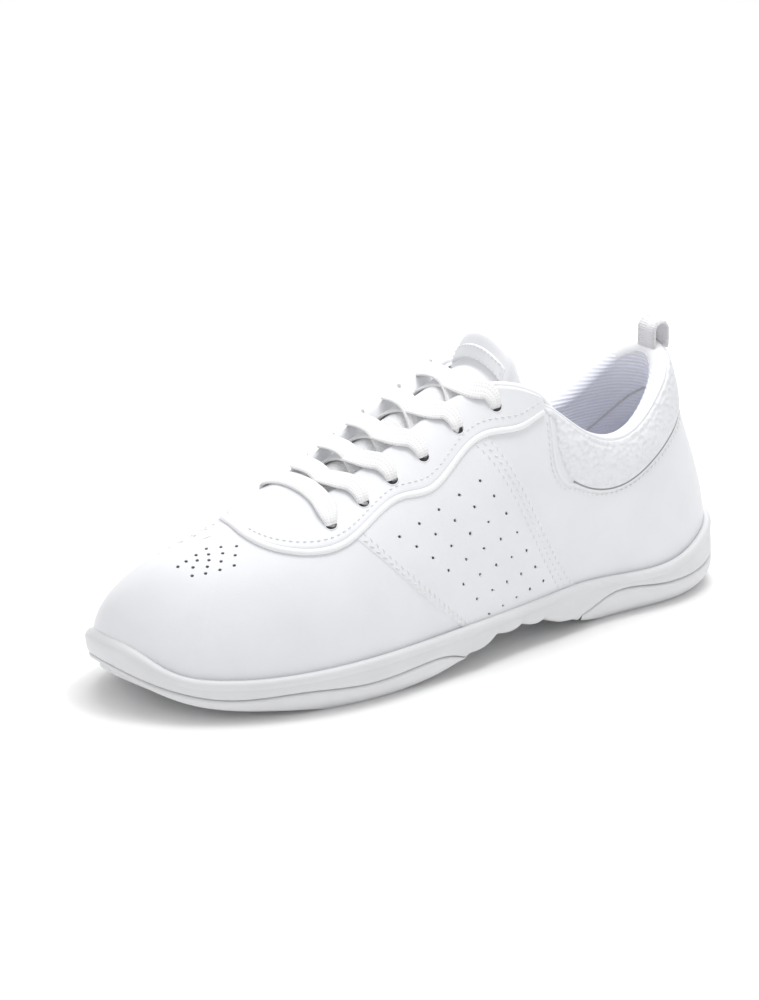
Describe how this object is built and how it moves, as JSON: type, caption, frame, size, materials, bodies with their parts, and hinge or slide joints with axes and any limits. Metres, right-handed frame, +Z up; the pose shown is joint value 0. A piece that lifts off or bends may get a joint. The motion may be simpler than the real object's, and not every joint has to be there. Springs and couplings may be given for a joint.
{
  "type": "cheer shoe",
  "caption": "Low-top lace-up cheer shoe with a padded collar, perforated side panels, heel pull loop and a raised-arch moulded sole.",
  "frame": {"origin": "on the floor under the middle of the shoe's length and width", "axes": "+X from heel to toe, +Y to the wearer's left (outer side of this left shoe), +Z up"},
  "size_m": [0.2666, 0.0932, 0.1106],
  "materials": {
    "upper_leather": "smooth white synthetic leather, low sheen",
    "collar_textile": "pebbled white coated fabric over padding",
    "rim_leather": "smooth rolled edge",
    "sole_foam": "moulded white foam, satin",
    "outsole_rubber": "white rubber, matte",
    "lining_knit": "ribbed knit lining, very pale lavender",
    "padding": "soft foam, hidden",
    "board": "stiff fibre board, hidden",
    "stiffener": "moulded stiffener, hidden",
    "tongue_mesh": "open white mesh",
    "lace_cotton": "woven flat lace",
    "aglet_film": "clear white film tip",
    "webbing": "narrow woven tape",
    "sockliner": "knit covered foam"
  },
  "bodies": {
    "shoe": {"heel_outsole": "outsole_rubber", "forefoot_outsole": "outsole_rubber", "midsole": "sole_foam", "arch_columns": "sole_foam", "lasting_board": "board", "insole_front": "sockliner", "side_panel_lateral": "upper_leather", "side_panel_medial": "upper_leather", "rear_quarter_lateral": "upper_leather", "rear_quarter_medial": "upper_leather", "vamp": "upper_leather", "eyestay": "upper_leather", "eyestay_bead": "rim_leather", "eyestay_backing": "stiffener", "collar_panel": "collar_textile", "collar_foam": "padding", "collar_lining": "lining_knit", "heel_counter": "stiffener", "collar_rim": "rim_leather", "quarter_lining": "lining_knit", "vamp_lining": "lining_knit", "toe_puff": "stiffener", "tongue_facing": "tongue_mesh", "tongue_pad": "padding", "tongue_lining": "lining_knit", "lace": "lace_cotton", "aglet_lateral": "aglet_film", "aglet_medial": "aglet_film"},
    "tongue_top": {"tongue_top_facing": "upper_leather", "tongue_top_pad": "padding", "tongue_top_lining": "lining_knit"},
    "pull_loop": {"pull_loop": "webbing"},
    "insole_heel": {"insole_rear": "sockliner"}
  },
  "joints": [
    {"name": "tongue_fold", "type": "hinge", "parent": "shoe", "child": "tongue_top", "pos_m": [-0.022, 0, 0.0885], "axis": [0, 1, 0], "range_deg": [0, 25]},
    {"name": "pull_loop_fold", "type": "hinge", "parent": "shoe", "child": "pull_loop", "pos_m": [-0.10961, -0.0011, 0.09092], "axis": [0, 1, 0], "range_deg": [-35, 35]},
    {"name": "insole_lift", "type": "hinge", "parent": "shoe", "child": "insole_heel", "pos_m": [0.04475, 0, 0.0149], "axis": [0, 1, 0], "range_deg": [0, 7]}
  ]
}
